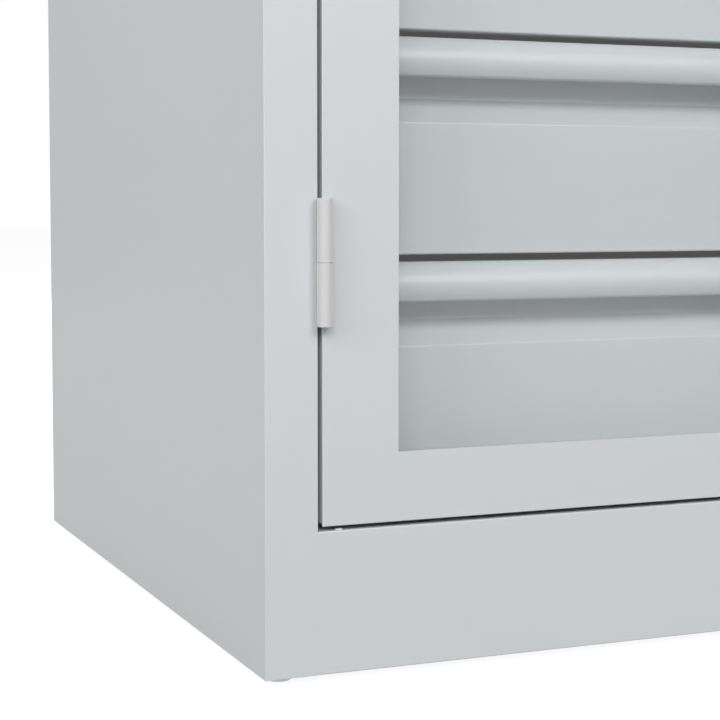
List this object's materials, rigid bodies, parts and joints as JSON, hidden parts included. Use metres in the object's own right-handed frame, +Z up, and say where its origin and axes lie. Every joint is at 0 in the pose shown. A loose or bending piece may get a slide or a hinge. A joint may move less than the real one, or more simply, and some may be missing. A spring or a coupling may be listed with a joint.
{
  "type": "heavy-duty cabinet",
  "caption": "Tall steel cabinet with clear-window doors that swing open, full-width drawers behind them, shelves above and levelling feet.",
  "frame": {"origin": "middle of the overall box on the floor, between the undersides of the four feet", "axes": "+Z up, -Y out of the doors towards the user, +X to the right as seen from the front"},
  "size_m": [1, 0.644, 1.95],
  "materials": {
    "cabinet_paint": "light grey powder coat, fine texture, satin",
    "hinge_metal": "smooth neutral grey weld-on hinge",
    "zinc_steel": "bright zinc plate",
    "clear_pane": "clear acrylic sheet",
    "lever_plastic": "black glass-filled nylon, fine grain",
    "cylinder_chrome": "polished lock cylinder",
    "bumper_rubber": "soft black bumper",
    "glide_nylon": "white nylon glide"
  },
  "bodies": {
    "cabinet": {"left_side_panel": "cabinet_paint", "right_side_panel": "cabinet_paint", "back_panel": "cabinet_paint", "roof_panel": "cabinet_paint", "floor_panel": "cabinet_paint", "plinth_front": "cabinet_paint", "header_rail": "cabinet_paint", "rod_keepers": "zinc_steel", "corner_gussets": "cabinet_paint", "uprights": "zinc_steel", "shelf_lower": "cabinet_paint", "shelf_middle": "cabinet_paint", "shelf_upper": "cabinet_paint", "shelf_clips": "zinc_steel", "drawer_bay_walls": "cabinet_paint", "drawer_bay_cover": "cabinet_paint", "fixed_runners": "zinc_steel", "frame_knuckles": "hinge_metal", "hinge_pins": "zinc_steel", "door_glides": "glide_nylon", "door_bumpers": "bumper_rubber"},
    "left_door": {"left_door_panel": "cabinet_paint", "left_door_window": "clear_pane", "left_door_retainers": "cabinet_paint", "left_door_nuts": "zinc_steel", "left_door_knuckles": "hinge_metal"},
    "right_door": {"right_door_panel": "cabinet_paint", "right_door_window": "clear_pane", "right_door_retainers": "cabinet_paint", "right_door_nuts": "zinc_steel", "right_door_knuckles": "hinge_metal", "lock_case": "zinc_steel", "lock_plate": "lever_plastic", "rod_guides": "lever_plastic"},
    "handle": {"lever_handle": "lever_plastic", "lock_spindle": "zinc_steel", "lock_cam": "zinc_steel"},
    "cylinder": {"key_cylinder": "cylinder_chrome"},
    "upper_rod": {"upper_lock_rod": "zinc_steel"},
    "lower_rod": {"lower_lock_rod": "zinc_steel"},
    "drawer_1": {"drawer_1_front": "cabinet_paint", "drawer_1_box": "cabinet_paint", "drawer_1_rails": "zinc_steel"},
    "drawer_1_slides": {"drawer_1_middle_slides": "zinc_steel"},
    "drawer_2": {"drawer_2_front": "cabinet_paint", "drawer_2_box": "cabinet_paint", "drawer_2_rails": "zinc_steel"},
    "drawer_2_slides": {"drawer_2_middle_slides": "zinc_steel"},
    "drawer_3": {"drawer_3_front": "cabinet_paint", "drawer_3_box": "cabinet_paint", "drawer_3_rails": "zinc_steel"},
    "drawer_3_slides": {"drawer_3_middle_slides": "zinc_steel"},
    "drawer_4": {"drawer_4_front": "cabinet_paint", "drawer_4_box": "cabinet_paint", "drawer_4_rails": "zinc_steel"},
    "drawer_4_slides": {"drawer_4_middle_slides": "zinc_steel"},
    "foot_front_left": {"front_left_foot": "zinc_steel"},
    "foot_front_right": {"front_right_foot": "zinc_steel"},
    "foot_rear_left": {"rear_left_foot": "zinc_steel"},
    "foot_rear_right": {"rear_right_foot": "zinc_steel"}
  },
  "joints": [
    {"name": "right_door_hinge", "type": "hinge", "parent": "cabinet", "child": "right_door", "pos_m": [0.4618, -0.2833, 1.0055], "axis": [0, 0, 1], "range_deg": [0, 180]},
    {"name": "left_door_hinge", "type": "hinge", "parent": "cabinet", "child": "left_door", "pos_m": [-0.4618, -0.2833, 1.0055], "axis": [0, 0, -1], "range_deg": [0, 180]},
    {"name": "handle_turn", "type": "hinge", "parent": "right_door", "child": "handle", "pos_m": [0.0335, -0.278, 1.0055], "axis": [0, 1, 0], "range_deg": [0, 90]},
    {"name": "key_turn", "type": "hinge", "parent": "handle", "child": "cylinder", "pos_m": [0.0335, -0.322, 1.0055], "axis": [0, 1, 0], "range_deg": [0, 90]},
    {"name": "upper_rod_slide", "type": "slide", "parent": "right_door", "child": "upper_rod", "axis": [0, 0, 1], "range_m": [0, 0.02]},
    {"name": "lower_rod_slide", "type": "slide", "parent": "right_door", "child": "lower_rod", "axis": [0, 0, -1], "range_m": [0, 0.02]},
    {"name": "drawer_1_slide", "type": "slide", "parent": "cabinet", "child": "drawer_1", "axis": [0, -1, 0], "range_m": [0, 0.45]},
    {"name": "drawer_1_runner", "type": "slide", "parent": "cabinet", "child": "drawer_1_slides", "axis": [0, -1, 0], "range_m": [0, 0.225]},
    {"name": "drawer_2_slide", "type": "slide", "parent": "cabinet", "child": "drawer_2", "axis": [0, -1, 0], "range_m": [0, 0.45]},
    {"name": "drawer_2_runner", "type": "slide", "parent": "cabinet", "child": "drawer_2_slides", "axis": [0, -1, 0], "range_m": [0, 0.225]},
    {"name": "drawer_3_slide", "type": "slide", "parent": "cabinet", "child": "drawer_3", "axis": [0, -1, 0], "range_m": [0, 0.45]},
    {"name": "drawer_3_runner", "type": "slide", "parent": "cabinet", "child": "drawer_3_slides", "axis": [0, -1, 0], "range_m": [0, 0.225]},
    {"name": "drawer_4_slide", "type": "slide", "parent": "cabinet", "child": "drawer_4", "axis": [0, -1, 0], "range_m": [0, 0.45]},
    {"name": "drawer_4_runner", "type": "slide", "parent": "cabinet", "child": "drawer_4_slides", "axis": [0, -1, 0], "range_m": [0, 0.225]},
    {"name": "foot_front_left_screw", "type": "slide", "parent": "cabinet", "child": "foot_front_left", "axis": [0, 0, -1], "range_m": [0, 0.02]},
    {"name": "foot_front_right_screw", "type": "slide", "parent": "cabinet", "child": "foot_front_right", "axis": [0, 0, -1], "range_m": [0, 0.02]},
    {"name": "foot_rear_left_screw", "type": "slide", "parent": "cabinet", "child": "foot_rear_left", "axis": [0, 0, -1], "range_m": [0, 0.02]},
    {"name": "foot_rear_right_screw", "type": "slide", "parent": "cabinet", "child": "foot_rear_right", "axis": [0, 0, -1], "range_m": [0, 0.02]}
  ],
  "couplings": [
    {"joint": "left_door_hinge", "follows": "right_door_hinge", "ratio": 1},
    {"joint": "upper_rod_slide", "follows": "handle_turn", "m_per_rad": 0.01273},
    {"joint": "lower_rod_slide", "follows": "handle_turn", "m_per_rad": 0.01273},
    {"joint": "drawer_1_slide", "follows": "right_door_hinge", "m_per_rad": 0.1},
    {"joint": "drawer_1_runner", "follows": "right_door_hinge", "m_per_rad": 0.05},
    {"joint": "drawer_2_slide", "follows": "right_door_hinge", "m_per_rad": 0.1},
    {"joint": "drawer_2_runner", "follows": "right_door_hinge", "m_per_rad": 0.05},
    {"joint": "drawer_3_slide", "follows": "right_door_hinge", "m_per_rad": 0.1},
    {"joint": "drawer_3_runner", "follows": "right_door_hinge", "m_per_rad": 0.05},
    {"joint": "drawer_4_slide", "follows": "right_door_hinge", "m_per_rad": 0.1},
    {"joint": "drawer_4_runner", "follows": "right_door_hinge", "m_per_rad": 0.05}
  ]
}
